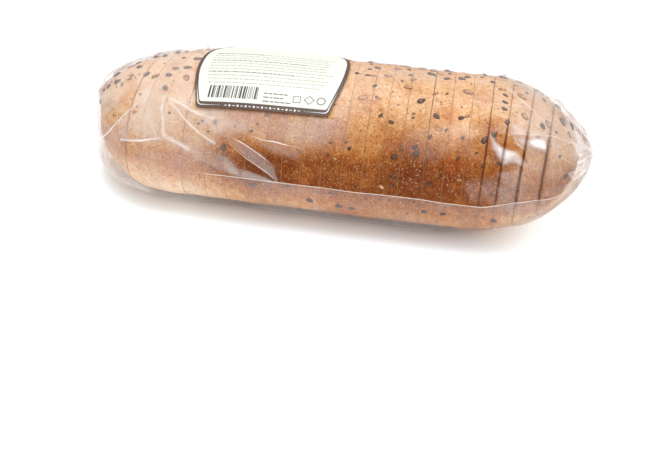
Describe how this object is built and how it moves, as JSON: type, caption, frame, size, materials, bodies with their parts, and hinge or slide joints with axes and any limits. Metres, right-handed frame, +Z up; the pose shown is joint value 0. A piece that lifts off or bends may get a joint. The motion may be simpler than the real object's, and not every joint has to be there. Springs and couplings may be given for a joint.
{
  "type": "sliced bread in a bag",
  "caption": "Long sliced seeded loaf in a clear film bag with a printed label, gathered at one end and folded under at the other.",
  "frame": {"origin": "on the surface the bag lies on, under the middle of the object's box", "axes": "+X along the loaf towards the gathered end of the bag, +Y towards the back, -Y to the front that shows the lap of the film, +Z up"},
  "size_m": [0.284, 0.1062, 0.0773],
  "materials": {
    "bread_in_film": "brown crust under clear glossy film",
    "label_print": "cream print with a brown border"
  },
  "bodies": {
    "root": {"bag": "bread_in_film", "label": "label_print"}
  },
  "joints": []
}
